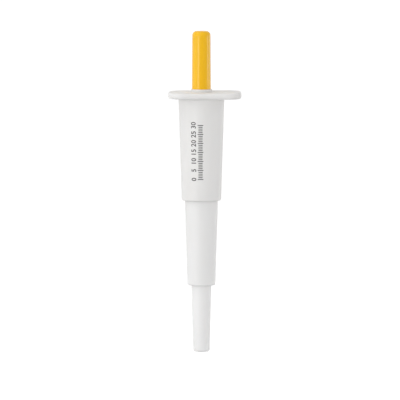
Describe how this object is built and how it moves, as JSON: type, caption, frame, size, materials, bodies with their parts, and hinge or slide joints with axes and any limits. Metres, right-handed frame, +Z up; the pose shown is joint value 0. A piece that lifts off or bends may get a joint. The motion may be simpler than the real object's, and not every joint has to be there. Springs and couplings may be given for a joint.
{
  "type": "fixed-volume micropipette",
  "caption": "Slim fixed-volume mini micropipette with a round push button, an oval finger flange, a stepped tapered body and a tip cone.",
  "frame": {"origin": "on the plunger's axis, in the plane of the finger flange's underside, where a stand's fork carries the pipette", "axes": "+Z up along the plunger's axis, towards the push button; +X along the long side of the finger flange; -Y towards the viewer of the picture"},
  "size_m": [0.022, 0.016, 0.0965],
  "materials": {
    "white_plastic": "semi-gloss moulded white plastic",
    "yellow_plastic": "semi-gloss moulded yellow plastic",
    "natural_plastic": "machined natural acetal",
    "seal_plastic": "matt PTFE",
    "black_rubber": "soft nitrile rubber",
    "spring_steel": "drawn stainless wire and stamped washers",
    "polished_steel": "ground and polished stainless steel"
  },
  "bodies": {
    "housing": {"guide_bush": "white_plastic", "upper_housing": "white_plastic", "lower_barrel": "white_plastic", "tip_cone": "white_plastic", "calibration_lock_ring": "natural_plastic", "calibration_nut": "natural_plastic", "blowout_washer": "spring_steel", "barrel_o_ring": "black_rubber", "barrel_spacer": "natural_plastic", "seal_spring": "spring_steel", "seal_pusher": "natural_plastic", "seal_o_ring": "black_rubber", "piston_seal": "seal_plastic"},
    "carriage": {"blowout_carriage": "natural_plastic", "blowout_spring": "spring_steel"},
    "plunger": {"push_button": "yellow_plastic", "plunger_rod": "polished_steel", "spring_washer": "spring_steel", "return_spring": "spring_steel", "stop_sleeve": "natural_plastic", "piston_holder": "natural_plastic", "piston": "polished_steel"}
  },
  "joints": [
    {"name": "blowout_slide", "type": "slide", "parent": "housing", "child": "carriage", "axis": [0, 0, -1], "range_m": [0, 0.00215], "stiffness_N_per_m": 700, "springref_m": -0.0025, "deforming": ["blowout_spring"]},
    {"name": "plunger_slide", "type": "slide", "parent": "carriage", "child": "plunger", "axis": [0, 0, -1], "range_m": [0, 0.00955], "stiffness_N_per_m": 150, "springref_m": -0.002, "deforming": ["return_spring"]}
  ]
}
